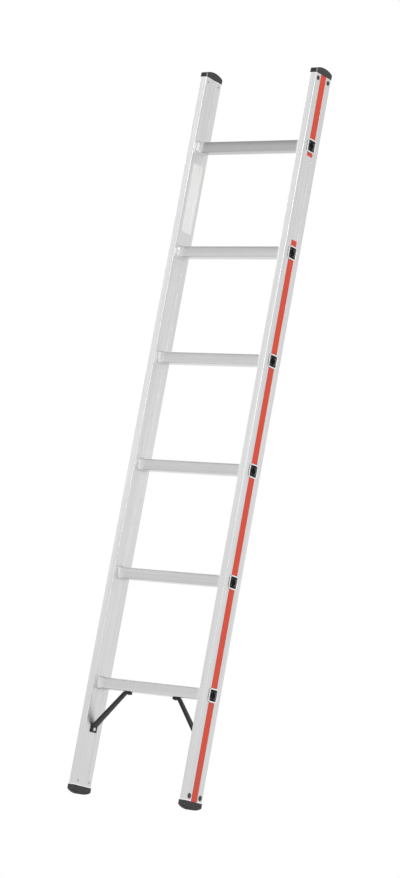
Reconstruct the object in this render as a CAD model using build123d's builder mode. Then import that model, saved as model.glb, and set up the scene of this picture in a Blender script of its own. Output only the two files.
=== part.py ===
"""A single-section leaning ladder of aluminium: two box stiles, six beaded rungs, plastic ends and braces.

Millimetres. +Z runs up the stiles, X along the rungs, and the climber stands on the -Y side.
The origin is on the floor, midway between the two feet.
"""

import os
from math import atan, degrees, sqrt

from build123d import *

# Whole ladder
rung_count = 6
rung_pitch = 280.0
first_rung_height = 280.0
outer_width = 370.0
stile_above_last_rung = 186.0
fit_gap = 0.3

# Stiles: hollow extrusions with a shallow channel down each broad face
stile_width = 20.0
stile_depth = 66.0
stile_corner_radius = 2.5
stile_side_wall = 1.8
stile_edge_wall = 2.4
channel_width = 24.0
channel_depth = 0.4

# Rungs: hollow square tubes with cut corners, beaded inside the stiles and flanged over outside them
rung_size = 28.0
rung_corner = 2.1
rung_wall = 1.6
flange_overhang = 3.4
flange_corner_radius = 8.4
flange_thickness = 2.0
flange_chamfer = 0.9
mouth_widening = 1.3
mouth_depth = 3.6
bead_overhang = 3.0
bead_band = 2.2
bead_slope = 1.4
shoulder_overhang = 1.8
shoulder_length = 11.0
tread_groove_count = 5
tread_groove_pitch = 3.4
tread_groove_width = 1.4
tread_groove_depth = 0.6
tread_end_margin = 6.0

# Plugs that close the rung ends
plug_recess = 0.6
plug_length = 12.0
plug_wall = 1.6
plug_dish_margin = 3.0
plug_dish_depth = 0.8

# Top caps and feet, each with a hollow shank inside the stile
cap_overhang = 1.0
cap_edge_height = 11.5
cap_crown_height = 19.0
cap_corner_radius = 3.0
foot_overhang = 1.4
foot_edge_height = 11.0
foot_crown_height = 20.0
foot_corner_radius = 3.0
sole_groove_count = 8
sole_groove_pitch = 8.4
sole_groove_width = 3.0
sole_groove_depth = 2.4
shank_length = 34.0
shank_wall = 2.2

# Rivets: small and many, so they are drawn with flat sides. Two go through each end of a stile
rivet_sides = 12
rivet_crown_ratio = 0.6
end_rivet_spread = 44.0
end_rivet_inset = 12.0
end_rivet_head_diameter = 11.0
end_rivet_head_height = 2.0
end_rivet_shank_diameter = 5.0
end_rivet_tail_diameter = 6.4
end_rivet_tail_height = 0.8

# Braces between the bottom rung and the stiles
brace_bar_width = 14.0
brace_bar_thickness = 6.5
brace_tab_width = 22.0
brace_tab_thickness = 4.0
brace_plain_below_bend = 12.0
brace_bend_radius = 8.0
brace_drop = 124.5
brace_stile_tab = 16.0
brace_reach = 80.0
brace_rung_tab = 17.0
brace_stile_rivet_from_end = 8.3
brace_rung_rivet_from_end = 5.2
brace_rivet_head_diameter = 9.0
brace_rivet_head_height = 1.4
brace_rivet_shank_diameter = 4.8
brace_rivet_tail_diameter = 7.0
brace_rivet_tail_height = 2.4

# Coloured film stripe in the outer channel, left off over a stretch below the top rung
stripe_width = 22.5
stripe_thickness = 0.25
stripe_end_gap = 0.3
stripe_stub_below_top_rung = 10.0
stripe_stub_above_next_rung = 15.0

# Places worked out from the sizes above
half_width = outer_width / 2
stile_inner_x = half_width - stile_width
stile_middle_x = half_width - stile_width / 2
cavity_width = stile_width - 2 * stile_side_wall
cavity_depth = stile_depth - 2 * stile_edge_wall
rung_heights = [first_rung_height + index * rung_pitch for index in range(rung_count)]
stile_bottom = foot_crown_height
stile_top = rung_heights[-1] + stile_above_last_rung
flange_size = rung_size + 2 * flange_overhang
flange_face_x = half_width + flange_thickness
bead_depth = flange_thickness + stile_width
slope_depth = bead_depth + bead_band
shoulder_depth = slope_depth + bead_slope
end_rivet_hole_radius = end_rivet_shank_diameter / 2 + fit_gap
end_rivet_heights = {"foot": stile_bottom + end_rivet_inset, "top_cap": stile_top - end_rivet_inset}
brace_rivet_hole_radius = brace_rivet_shank_diameter / 2 + fit_gap
bottom_rung_z = rung_heights[0]
brace_rung_face_z = bottom_rung_z - rung_size / 2
brace_stile_face_x = stile_inner_x + channel_depth
brace_stile_rivet_z = bottom_rung_z - brace_drop + brace_stile_rivet_from_end
brace_rung_rivet_x = stile_inner_x - brace_reach - brace_rung_tab + brace_rung_rivet_from_end
sides = {"left": -1, "right": 1}


def save(piece: BuildPart, name: str):
    """Labels a finished piece and writes it to its own file."""
    piece.part.label = name
    export_step(piece.part, f"parts/{name}.step")


def place(piece: BuildPart, *seats) -> BuildPart:
    """Sets copies of a piece on one or more seats."""
    with BuildPart() as placed:
        with Locations(*seats):
            add(piece.part)
    return placed


def side_plane(x: float, y: float, z: float, direction: int) -> Plane:
    """A seat that faces along X, towards +X or -X."""
    return Plane(origin=(x, y, z), x_dir=(0, direction, 0), z_dir=(direction, 0, 0))


def rung_end(sign: int, height: float) -> Plane:
    """The seat at a rung's flange face that looks along the rung towards its middle."""
    return side_plane(sign * flange_face_x, 0, height, -sign)


def taper_angle(inset: float, length: float) -> float:
    """The slope in degrees of a side that draws in by an inset over a length."""
    return degrees(atan(inset / length))


def rung_outline(depth: float, offset: float) -> Sketch:
    """The rung's square with cut corners at a depth, grown all round by an offset, or shrunk by a negative one."""
    size = rung_size + 2 * offset
    corner = rung_corner + (2 - sqrt(2)) * offset
    with BuildSketch(Plane.XY.offset(depth)) as outline:
        Rectangle(size, size)
        chamfer(outline.vertices(), length=corner)
    return outline.sketch


def build_stile(sign: int) -> BuildPart:
    """One box stile with its rung openings and rivet holes."""
    with BuildPart() as opening:
        extrude(rung_outline(0, fit_gap), amount=flange_face_x)
    with BuildPart() as stile:
        with BuildSketch(Plane.XY.offset(stile_bottom)):
            with Locations((sign * stile_middle_x, 0)):
                RectangleRounded(stile_width, stile_depth, stile_corner_radius)
                Rectangle(cavity_width, cavity_depth, mode=Mode.SUBTRACT)
            with Locations((sign * stile_inner_x, 0), (sign * half_width, 0)):
                Rectangle(2 * channel_depth, channel_width, mode=Mode.SUBTRACT)
        extrude(amount=stile_top - stile_bottom)
        with Locations(*[rung_end(sign, height) for height in rung_heights]):
            add(opening.part, mode=Mode.SUBTRACT)
        with BuildSketch(Plane.YZ.offset(sign * stile_middle_x)):
            with Locations(*[(0, height) for height in end_rivet_heights.values()]):
                with GridLocations(end_rivet_spread, 0, 2, 1):
                    RegularPolygon(end_rivet_hole_radius, rivet_sides)
        extrude(amount=stile_width, both=True, mode=Mode.SUBTRACT)
        with BuildSketch(Plane.YZ.offset(sign * stile_inner_x)):
            with Locations((0, brace_stile_rivet_z)):
                RegularPolygon(brace_rivet_hole_radius, rivet_sides)
        extrude(amount=stile_width / 2, both=True, mode=Mode.SUBTRACT)
    return stile


def build_half_rung() -> BuildPart:
    """Half a rung, drawn up +Z from its flange face to its middle, with the tread towards +Y."""
    with BuildPart() as rung:
        with BuildSketch():
            RectangleRounded(flange_size, flange_size, flange_corner_radius)
        extrude(amount=flange_thickness)
        chamfer(rung.faces().sort_by(Axis.Z)[0].edges(), length=flange_chamfer)
        extrude(rung_outline(flange_thickness, 0), amount=half_width)
        extrude(rung_outline(bead_depth, bead_overhang), amount=bead_band)
        slope_angle = taper_angle(bead_overhang - shoulder_overhang, bead_slope)
        extrude(rung_outline(slope_depth, bead_overhang), amount=bead_slope, taper=slope_angle)
        shoulder_angle = taper_angle(shoulder_overhang, shoulder_length)
        extrude(rung_outline(shoulder_depth, shoulder_overhang), amount=shoulder_length, taper=shoulder_angle)
        extrude(rung_outline(0, -rung_wall), amount=flange_face_x, mode=Mode.SUBTRACT)
        mouth = rung_outline(0, mouth_widening - rung_wall)
        extrude(mouth, amount=mouth_depth, taper=mouth_angle, mode=Mode.SUBTRACT)
        with BuildSketch(Plane.XY.offset(shoulder_depth + shoulder_length + tread_end_margin)):
            with Locations((0, rung_size / 2)):
                with GridLocations(tread_groove_pitch, 0, tread_groove_count, 1):
                    Rectangle(tread_groove_width, 2 * tread_groove_depth)
        extrude(amount=half_width, mode=Mode.SUBTRACT)
    return rung


def build_bottom_rung(half_rung: BuildPart) -> BuildPart:
    """The lowest rung, drilled underneath for the brace rivets."""
    with BuildPart() as rung:
        with Locations(*[rung_end(sign, bottom_rung_z) for sign in sides.values()]):
            add(half_rung.part)
        with BuildSketch(Plane.XY.offset(brace_rung_face_z)):
            with GridLocations(2 * brace_rung_rivet_x, 0, 2, 1):
                RegularPolygon(brace_rivet_hole_radius, rivet_sides)
        extrude(amount=2 * rung_wall, both=True, mode=Mode.SUBTRACT)
    return rung


def build_plug() -> BuildPart:
    """A moulded plug with a flared head, a dished face and a hollow body, drawn up +Z from the flange face."""
    head_depth = mouth_depth - plug_recess
    body_offset = -rung_wall - fit_gap
    face_offset = body_offset + mouth_widening * head_depth / mouth_depth
    hollow_size = rung_size + 2 * (body_offset - plug_wall)
    dish_size = rung_size + 2 * (face_offset - plug_dish_margin)
    with BuildPart() as plug:
        extrude(rung_outline(plug_recess, face_offset), amount=head_depth, taper=mouth_angle)
        extrude(rung_outline(mouth_depth, body_offset), amount=plug_length)
        with BuildSketch(Plane.XY.offset(mouth_depth)):
            Rectangle(hollow_size, hollow_size)
        extrude(amount=plug_length, mode=Mode.SUBTRACT)
        with BuildSketch(Plane.XY.offset(plug_recess)):
            Rectangle(dish_size, dish_size)
        extrude(amount=plug_dish_depth, mode=Mode.SUBTRACT)
    return plug


def build_rivet(head: tuple, shank: float, tail: tuple, grip: float) -> BuildPart:
    """A rivet with its head towards +Z, seated at z = 0. Head and tail are (diameter, height)."""
    crown_angle = taper_angle((1 - rivet_crown_ratio) * head[0] / 2, head[1])
    with BuildPart() as rivet:
        with BuildSketch():
            RegularPolygon(head[0] / 2, rivet_sides)
        extrude(amount=head[1], taper=crown_angle)
        with BuildSketch():
            RegularPolygon(shank / 2, rivet_sides)
        extrude(amount=-grip)
        with BuildSketch(Plane.XY.offset(-grip)):
            RegularPolygon(tail[0] / 2, rivet_sides)
        extrude(amount=-tail[1])
    return rivet


def build_end_shank(sign: int, seat_z: float, direction: int) -> BuildPart:
    """The hollow shank of a cap or foot, which fills the stile's end and takes the rivets."""
    shank_width = cavity_width - 2 * fit_gap
    shank_depth = cavity_depth - 2 * fit_gap
    with BuildPart() as shank:
        with BuildSketch(Plane.XY.offset(seat_z)):
            with Locations((sign * stile_middle_x, 0)):
                Rectangle(shank_width, shank_depth)
                Rectangle(shank_width - 2 * shank_wall, shank_depth - 2 * shank_wall, mode=Mode.SUBTRACT)
        extrude(amount=direction * shank_length)
        with BuildSketch(Plane.YZ.offset(sign * stile_middle_x)):
            with Locations((0, seat_z + direction * end_rivet_inset)):
                with GridLocations(end_rivet_spread, 0, 2, 1):
                    RegularPolygon(end_rivet_hole_radius, rivet_sides)
        extrude(amount=stile_width, both=True, mode=Mode.SUBTRACT)
    return shank


def build_top_cap(sign: int) -> BuildPart:
    """A domed cap that closes the top of a stile."""
    half_cap_depth = stile_depth / 2 + cap_overhang
    half_cap_width = stile_width / 2 + cap_overhang
    edge_z = stile_top + cap_edge_height
    shank = build_end_shank(sign, stile_top, -1)
    with BuildPart() as cap:
        with BuildSketch(Plane.YZ.offset(sign * stile_middle_x)):
            with BuildLine():
                Polyline(
                    (-half_cap_depth, edge_z),
                    (-half_cap_depth, stile_top),
                    (half_cap_depth, stile_top),
                    (half_cap_depth, edge_z),
                )
                ThreePointArc((half_cap_depth, edge_z), (0, stile_top + cap_crown_height), (-half_cap_depth, edge_z))
            make_face()
        extrude(amount=half_cap_width, both=True)
        fillet(cap.edges().filter_by(Axis.Z), radius=cap_corner_radius)
        add(shank.part)
    return cap


def build_foot(sign: int) -> BuildPart:
    """A foot with a curved sole, grooved across for grip."""
    half_foot_depth = stile_depth / 2 + foot_overhang
    half_foot_width = stile_width / 2 + foot_overhang
    edge_z = stile_bottom - foot_edge_height
    sole_radius = (half_foot_depth**2 + edge_z**2) / (2 * edge_z)
    shank = build_end_shank(sign, stile_bottom, 1)
    with BuildPart() as foot:
        with BuildSketch(Plane.YZ.offset(sign * stile_middle_x)):
            with BuildLine():
                Polyline(
                    (-half_foot_depth, edge_z),
                    (-half_foot_depth, stile_bottom),
                    (half_foot_depth, stile_bottom),
                    (half_foot_depth, edge_z),
                )
                ThreePointArc((half_foot_depth, edge_z), (0, 0), (-half_foot_depth, edge_z))
            make_face()
            for index in range(sole_groove_count):
                groove_y = (index - (sole_groove_count - 1) / 2) * sole_groove_pitch
                sole_z = sole_radius - sqrt(sole_radius**2 - groove_y**2)
                with Locations((groove_y, sole_z)):
                    Rectangle(sole_groove_width, 2 * sole_groove_depth, mode=Mode.SUBTRACT)
        extrude(amount=half_foot_width, both=True)
        upright_edges = foot.edges().filter_by(Axis.Z).group_by(Axis.Y)
        fillet(upright_edges[0] + upright_edges[-1], radius=foot_corner_radius)
        add(shank.part)
    return foot


def build_brace(sign: int) -> BuildPart:
    """A bent bar from the bottom rung's underside down to the stile, flattening on its way to a wide tab."""
    tab_x = sign * (brace_stile_face_x - brace_tab_thickness / 2)
    tab_end_z = bottom_rung_z - brace_drop
    bar_z = brace_rung_face_z - brace_bar_thickness / 2
    bar_end_x = sign * (stile_inner_x - brace_reach - brace_rung_tab)
    lower_bend = Vector(tab_x, 0, tab_end_z + brace_stile_tab)
    upper_bend = Vector(sign * (stile_inner_x - brace_reach), 0, bar_z)
    slope = (upper_bend - lower_bend).normalized()
    flat_stop = lower_bend + slope * brace_bend_radius
    bar_start = upper_bend - slope * brace_plain_below_bend
    tab = (brace_tab_thickness, brace_tab_width)
    bar = (brace_bar_thickness, brace_bar_width)
    routes = (
        (Vector(tab_x, 0, tab_end_z), lower_bend, flat_stop, tab),
        (Vector(bar_end_x, 0, bar_z), upper_bend, bar_start, bar),
    )
    with BuildPart() as brace:
        for end, bend, stop, section in routes:
            with BuildLine(Plane.XZ) as route:
                FilletPolyline(*((point.X, point.Z) for point in (end, bend, stop)), radius=brace_bend_radius)
            ahead = route.line % 0
            with BuildSketch(Plane(origin=end, x_dir=ahead.cross(Vector(0, 1, 0)), z_dir=ahead)):
                Rectangle(*section)
            sweep(path=route.line)
        for point, section in ((flat_stop, tab), (bar_start, bar)):
            with BuildSketch(Plane(origin=point, x_dir=slope.cross(Vector(0, 1, 0)), z_dir=slope)):
                Rectangle(*section)
        loft(ruled=True)
        with BuildSketch(Plane.YZ.offset(tab_x)):
            with Locations((0, brace_stile_rivet_z)):
                RegularPolygon(brace_rivet_hole_radius, rivet_sides)
        extrude(amount=brace_tab_thickness, both=True, mode=Mode.SUBTRACT)
        with BuildSketch(Plane.XY.offset(bar_z)):
            with Locations((sign * brace_rung_rivet_x, 0)):
                RegularPolygon(brace_rivet_hole_radius, rivet_sides)
        extrude(amount=brace_bar_thickness, both=True, mode=Mode.SUBTRACT)
    return brace


def stripe_spans() -> list[tuple[float, float]]:
    """Lower and upper ends of each length of film, between the rung flanges."""
    clear = flange_size / 2 + stripe_end_gap
    spans = [(stile_bottom + stripe_end_gap, rung_heights[0] - clear)]
    for lower, upper in zip(rung_heights[:-2], rung_heights[1:-1]):
        spans.append((lower + clear, upper - clear))
    start = rung_heights[-2] + clear
    stop = rung_heights[-1] - clear
    spans.append((start, start + stripe_stub_above_next_rung))
    spans.append((stop - stripe_stub_below_top_rung, stop))
    spans.append((rung_heights[-1] + clear, stile_top - stripe_end_gap))
    return spans


def build_stripe(sign: int) -> BuildPart:
    """The lengths of coloured film in the outer channel of a stile."""
    with BuildPart() as stripe:
        with BuildSketch(Plane.YZ.offset(sign * (half_width - channel_depth))):
            for start, stop in stripe_spans():
                with Locations((0, (start + stop) / 2)):
                    Rectangle(stripe_width, stop - start)
        extrude(amount=sign * stripe_thickness)
    return stripe


os.makedirs("parts", exist_ok=True)
mouth_angle = taper_angle(mouth_widening, mouth_depth)
half_rung = build_half_rung()
plug = build_plug()
end_rivet = build_rivet(
    head=(end_rivet_head_diameter, end_rivet_head_height),
    shank=end_rivet_shank_diameter,
    tail=(end_rivet_tail_diameter, end_rivet_tail_height),
    grip=stile_width,
)
brace_rivet_sizes = {
    "head": (brace_rivet_head_diameter, brace_rivet_head_height),
    "shank": brace_rivet_shank_diameter,
    "tail": (brace_rivet_tail_diameter, brace_rivet_tail_height),
}
brace_stile_rivet = build_rivet(**brace_rivet_sizes, grip=brace_tab_thickness + stile_side_wall - channel_depth)
brace_rung_rivet = build_rivet(**brace_rivet_sizes, grip=brace_bar_thickness + rung_wall)

save(build_bottom_rung(half_rung), "rung_1")
for index, height in enumerate(rung_heights[1:], start=2):
    save(place(half_rung, rung_end(-1, height), rung_end(1, height)), f"rung_{index}")
for side, sign in sides.items():
    save(build_stile(sign), f"stile_{side}")
    save(build_top_cap(sign), f"top_cap_{side}")
    save(build_foot(sign), f"foot_{side}")
    for end, height in end_rivet_heights.items():
        front_seat = side_plane(sign * half_width, -end_rivet_spread / 2, height, sign)
        rear_seat = side_plane(sign * half_width, end_rivet_spread / 2, height, sign)
        save(place(end_rivet, front_seat, rear_seat), f"{end}_rivets_{side}")
    for index, height in enumerate(rung_heights, start=1):
        save(place(plug, rung_end(sign, height)), f"rung_plug_{side}_{index}")
    save(build_brace(sign), f"brace_{side}")
    stile_seat = side_plane(sign * (brace_stile_face_x - brace_tab_thickness), 0, brace_stile_rivet_z, -sign)
    rung_seat = Plane(
        origin=(sign * brace_rung_rivet_x, 0, brace_rung_face_z - brace_bar_thickness), z_dir=(0, 0, -1)
    )
    save(place(brace_stile_rivet, stile_seat), f"brace_stile_rivet_{side}")
    save(place(brace_rung_rivet, rung_seat), f"brace_rung_rivet_{side}")
    save(build_stripe(sign), f"side_stripe_{side}")
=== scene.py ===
"""Looks of a single section ladder: finishes, finer rungs, plugs, ends and rivets, a studio and a camera."""

import logging
import math
from dataclasses import dataclass, replace
from enum import Enum, IntEnum

import bmesh
import bpy
from bmesh.types import BMEdge, BMFace, BMVert, BMesh
from bpy.types import Material, Node, NodeSocket, NodeTree
from mathutils import Matrix, Quaternion, Vector


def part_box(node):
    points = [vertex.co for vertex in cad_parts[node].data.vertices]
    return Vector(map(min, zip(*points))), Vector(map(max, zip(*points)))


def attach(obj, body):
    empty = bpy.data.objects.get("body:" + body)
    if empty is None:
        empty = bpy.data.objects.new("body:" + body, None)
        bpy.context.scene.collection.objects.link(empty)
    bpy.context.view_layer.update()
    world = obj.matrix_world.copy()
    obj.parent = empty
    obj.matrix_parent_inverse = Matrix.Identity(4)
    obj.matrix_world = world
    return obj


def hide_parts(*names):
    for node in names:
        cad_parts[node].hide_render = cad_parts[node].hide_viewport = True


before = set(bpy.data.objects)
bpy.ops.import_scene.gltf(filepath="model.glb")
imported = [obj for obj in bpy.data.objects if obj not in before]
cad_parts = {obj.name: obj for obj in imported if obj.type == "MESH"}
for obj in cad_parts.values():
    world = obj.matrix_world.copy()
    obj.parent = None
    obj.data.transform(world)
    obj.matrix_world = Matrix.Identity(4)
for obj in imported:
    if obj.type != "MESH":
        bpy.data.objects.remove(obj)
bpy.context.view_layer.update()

Limits = tuple[float, float]
Pairs = tuple[tuple[float, float], ...]
LOG = logging.getLogger("ladder")
# Sizes are in millimetres and become metres with MM. Points closer than the two distances, in metres, are one
MM = 0.001
MERGE_DISTANCE = 1e-6
CUT_DISTANCE = 1e-7
QUARTER_TURN = math.radians(90)
# Edges that bend more than this stay crisp
CRISP_ANGLE = math.radians(38)
WHITE = (1.0, 1.0, 1.0, 1.0)
BODY = "root"
# Faces along +X that pieces are set to, from the CAD parts
STILE_INNER, STILE_OUTER = [corner.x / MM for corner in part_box("stile_right")]
FLANGE_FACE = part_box("rung_1")[1].x / MM
RUNG_NUMBERS = range(1, 7)

# Settings of nodes that are used often, and the numbers of a Mix node's inputs, whose names repeat
COLOURS = {"data_type": "RGBA"}
SMOOTH = {"interpolation_type": "SMOOTHSTEP"}
SHARE, NUMBER_A, NUMBER_B, COLOUR_A, COLOUR_B = 0, 2, 3, 6, 7
# Finer layers in a noise, from even streaks to a mottle
EVEN, BROKEN, CLOUDY, MOTTLED = 2.0, 3.0, 4.0, 5.0


class Side(Enum):
    """The two stiles, as the climber sees them, with the sign of X."""

    LEFT = -1
    RIGHT = 1

    @property
    def word(self) -> str:
        """The side's word in node names."""
        return self.name.lower()


class Along(Enum):
    """The direction in which a profile was pressed, as a row of axes that run with it."""

    STILE = (False, False, True)
    RUNG = (True, False, False)


class RungZone(IntEnum):
    """The finishes on a rung, in order."""

    TUBE = 0
    BEAD = 1
    FLANGE = 2
    SEAM = 3


class CapZone(IntEnum):
    """The finishes on a top cap, in order."""

    BROAD = 0
    END = 1
    CORNER = 2


def linear(code: str) -> tuple[float, float, float, float]:
    """Turns an sRGB hex colour to linear light.

    Args:
        code: Six hex digits after a hash sign.

    Returns:
        Red, green, blue and an alpha of one.
    """
    parts = [int(code[i:i + 2], 16) / 255 for i in (1, 3, 5)]
    red, green, blue = [c / 12.92 if c <= 0.04045 else ((c + 0.055) / 1.055) ** 2.4 for c in parts]
    return red, green, blue, 1.0


def add_node(tree: NodeTree, kind: str, inputs: dict | None = None, settings: dict | None = None) -> Node:
    """Adds a node with its settings and links.

    Args:
        tree: The material's or world's nodes.
        kind: Blender's name for the kind of node, without ShaderNode at its start.
        inputs: Input name or number to a value, or to the output or the node that feeds it.
        settings: Properties of the node.

    Returns:
        The new node.
    """
    node = tree.nodes.new(f"ShaderNode{kind}")
    for key, value in (settings or {}).items():
        setattr(node, key, value)
    for key, value in (inputs or {}).items():
        if isinstance(value, Node):
            value = next(output for output in value.outputs if output.enabled)
        if isinstance(value, NodeSocket):
            tree.links.new(value, node.inputs[key])
        else:
            node.inputs[key].default_value = value
    return node


def blank_material(name: str) -> tuple[Material, NodeTree]:
    """Makes a material with no nodes.

    Args:
        name: What the material is called.

    Returns:
        The material and its empty node tree.
    """
    material = bpy.data.materials.new(name)
    material.use_nodes = True
    material.node_tree.nodes.clear()
    return material, material.node_tree


def per_metre(size_mm: float) -> float:
    """How many features of a size in millimetres go into a metre."""
    return 1 / (size_mm * MM)


def between(limits: Limits, unit: float = 1.0) -> dict[str, float]:
    """The values between which a share grows, as inputs of a node that maps one range to another."""
    return {"From Min": limits[0] * unit, "From Max": limits[1] * unit}


def streaks(tree: NodeTree, place: NodeSocket, sizes_mm: tuple[float, ...], detail: float) -> Node:
    """Makes a pattern of streaks.

    Args:
        tree: The material's nodes.
        place: Object coordinates.
        sizes_mm: Size of the streaks along X, Y and Z.
        detail: How many finer layers they have.

    Returns:
        The node of the pattern.
    """
    scale = tuple(per_metre(size) for size in sizes_mm)
    stretch = add_node(tree, "Mapping", {"Vector": place, "Scale": scale})
    return add_node(tree, "TexNoise", {"Vector": stretch, "Scale": 1.0, "Detail": detail})


def mirrored_share(tree: NodeTree) -> Node:
    """Tells rays that left shiny or clear surfaces from the rest.

    Args:
        tree: The nodes of the floor or the world.

    Returns:
        A node that gives one for such a ray, else zero.
    """
    path = add_node(tree, "LightPath")
    return add_node(tree, "Math", {
        0: path.outputs["Is Glossy Ray"], 1: path.outputs["Is Transmission Ray"]}, {"operation": "MAXIMUM"})


@dataclass(frozen=True)
class PressedAluminium:
    """Mill-finish extruded aluminium: pale satin metal with soft bands and fine lines along the profile."""

    name: str
    pale: str
    deep: str
    along: Along = Along.RUNG
    roughness: float = 0.3
    roughness_swing: float = 0.06
    band_mm: float = 9.0
    band_length_mm: float = 520.0
    band_range: Limits = (0.36, 0.64)
    line_mm: float = 1.3
    line_length_mm: float = 240.0
    line_range: Limits = (0.3, 0.7)
    smudge_mm: float = 34.0
    smudge_range: Limits = (0.42, 0.72)
    smudge_share: float = 0.45
    relief_mm: float = 0.02
    relief_strength: float = 0.35
    end_levels_mm: tuple[float, ...] = ()
    end_highlight_mm: float = 2.2
    end_highlight: str = "#FCFCFC"
    floor_shade: str = "#D2D2D3"
    floor_shade_below_mm: float = 800.0
    floor_shade_share: float = 0.6
    bead_highlight: str | None = None
    worked_roughness: float = 0.42
    worked_span_mm: Limits = (145.4, 155.4)

    def sizes(self, across_mm: float, along_mm: float) -> tuple[float, ...]:
        """Sizes along X, Y and Z of streaks that run with the profile."""
        return tuple(along_mm if runs else across_mm for runs in self.along.value)

    def material(self) -> Material:
        """Builds the metal.

        Returns:
            The finished material.
        """
        material, tree = blank_material(self.name)
        place = add_node(tree, "TexCoord").outputs["Object"]
        # Die bands: broad soft stripes of slightly different brightness
        bands = streaks(tree, place, self.sizes(self.band_mm, self.band_length_mm), EVEN)
        band_share = add_node(tree, "MapRange", {"Value": bands, **between(self.band_range)})
        # Die lines: finer than a pixel in the real metal, so they are drawn a little coarser to show
        lines = streaks(tree, place, self.sizes(self.line_mm, self.line_length_mm), BROKEN)
        # Handling marks: cloudy patches where the oxide film is duller
        smudges = add_node(tree, "TexNoise", {
            "Vector": place, "Scale": per_metre(self.smudge_mm), "Detail": CLOUDY})
        dullness = add_node(tree, "MapRange", {
            "Value": smudges, **between(self.smudge_range), "To Max": self.smudge_share})
        banded = add_node(tree, "Mix", {
            SHARE: band_share, COLOUR_A: linear(self.deep), COLOUR_B: linear(self.pale)}, COLOURS)
        colour = add_node(tree, "Mix", {
            SHARE: dullness, COLOUR_A: banded, COLOUR_B: linear(self.deep)}, COLOURS)
        gloss = add_node(tree, "MapRange", {
            "Value": lines, **between(self.line_range),
            "To Min": self.roughness - self.roughness_swing, "To Max": self.roughness + self.roughness_swing})
        axes = add_node(tree, "SeparateXYZ", {0: place})
        if self.bead_highlight:
            # Painted highlight where the tube was upset into its bead: the metal is painted paler there, and
            # dulls
            reach = add_node(tree, "Math", {0: axes.outputs["X"]}, {"operation": "ABSOLUTE"})
            bead_highlight_share = add_node(tree, "MapRange", {
                "Value": reach, **between(self.worked_span_mm, MM)}, SMOOTH)
            colour = add_node(tree, "Mix", {
                SHARE: bead_highlight_share, COLOUR_A: colour, COLOUR_B: linear(self.bead_highlight)}, COLOURS)
            gloss = add_node(tree, "Mix", {SHARE: bead_highlight_share, NUMBER_A: gloss, NUMBER_B: self.worked_roughness})
        if self.end_levels_mm:
            # Painted shade at the standing end: greyer towards the floor
            floor_shade_amount = add_node(tree, "MapRange", {
                "Value": axes.outputs["Z"], **between((0.0, self.floor_shade_below_mm), MM),
                "To Min": self.floor_shade_share, "To Max": 0.0})
            colour = add_node(tree, "Mix", {
                SHARE: floor_shade_amount, COLOUR_A: colour, COLOUR_B: linear(self.floor_shade)}, COLOURS)
        for level in self.end_levels_mm:
            # Painted highlight on the sawn and deburred ends: a thin bright line round the profile
            at_end = add_node(tree, "Math", {
                0: axes.outputs["Z"], 1: level * MM, 2: self.end_highlight_mm * MM}, {"operation": "COMPARE"})
            colour = add_node(tree, "Mix", {
                SHARE: at_end, COLOUR_A: colour, COLOUR_B: linear(self.end_highlight)}, COLOURS)
        relief = add_node(tree, "Bump", {
            "Strength": self.relief_strength, "Distance": self.relief_mm * MM, "Height": lines})
        shader = add_node(tree, "BsdfPrincipled", {
            "Base Color": colour, "Metallic": 1.0, "Roughness": gloss, "Normal": relief})
        add_node(tree, "OutputMaterial", {"Surface": shader})
        return material


@dataclass(frozen=True)
class MouldedPlastic:
    """Dark moulded plastic, coating or rubber: a fine grain and a slight mottle in the colour."""

    name: str
    colour: str
    worn: str
    roughness: float
    grain_mm: float = 0.8
    grain_relief_mm: float = 0.02
    relief_strength: float = 0.5
    mottle_mm: float = 14.0
    gloss_range: Limits = (0.3, 0.7)
    roughness_swing: float = 0.06
    wear_range: Limits = (0.4, 0.75)
    wear_share: float = 0.5
    ior: float = 1.5
    wall_highlight: str | None = None
    wall_highlight_range: Limits = (0.1, 0.5)

    def material(self) -> Material:
        """Builds the plastic.

        Returns:
            The finished material.
        """
        material, tree = blank_material(self.name)
        place = add_node(tree, "TexCoord").outputs["Object"]
        mottle = add_node(tree, "TexNoise", {
            "Vector": place, "Scale": per_metre(self.mottle_mm), "Detail": MOTTLED})
        wear = add_node(tree, "MapRange", {
            "Value": mottle, **between(self.wear_range), "To Max": self.wear_share})
        # Grain from the mould or the coating, drawn about as coarse as it shows close up
        grain = add_node(tree, "TexNoise", {
            "Vector": place, "Scale": per_metre(self.grain_mm), "Detail": EVEN})
        colour = add_node(tree, "Mix", {
            SHARE: wear, COLOUR_A: linear(self.colour), COLOUR_B: linear(self.worn)}, COLOURS)
        if self.wall_highlight:
            # Painted highlight: paler on the walls that face left and right
            normal = add_node(tree, "SeparateXYZ", {0: add_node(tree, "NewGeometry").outputs["Normal"]})
            facing_side = add_node(tree, "Math", {0: normal.outputs["Y"]}, {"operation": "ABSOLUTE"})
            wall_highlight_share = add_node(tree, "MapRange", {
                "Value": facing_side, **between(self.wall_highlight_range)}, SMOOTH)
            colour = add_node(tree, "Mix", {
                SHARE: wall_highlight_share, COLOUR_A: colour, COLOUR_B: linear(self.wall_highlight)}, COLOURS)
        gloss = add_node(tree, "MapRange", {
            "Value": mottle, **between(self.gloss_range),
            "To Min": self.roughness - self.roughness_swing, "To Max": self.roughness + self.roughness_swing})
        relief = add_node(tree, "Bump", {
            "Strength": self.relief_strength, "Distance": self.grain_relief_mm * MM, "Height": grain})
        shader = add_node(tree, "BsdfPrincipled", {
            "Base Color": colour, "Roughness": gloss, "IOR": self.ior, "Normal": relief})
        add_node(tree, "OutputMaterial", {"Surface": shader})
        return material


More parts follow.
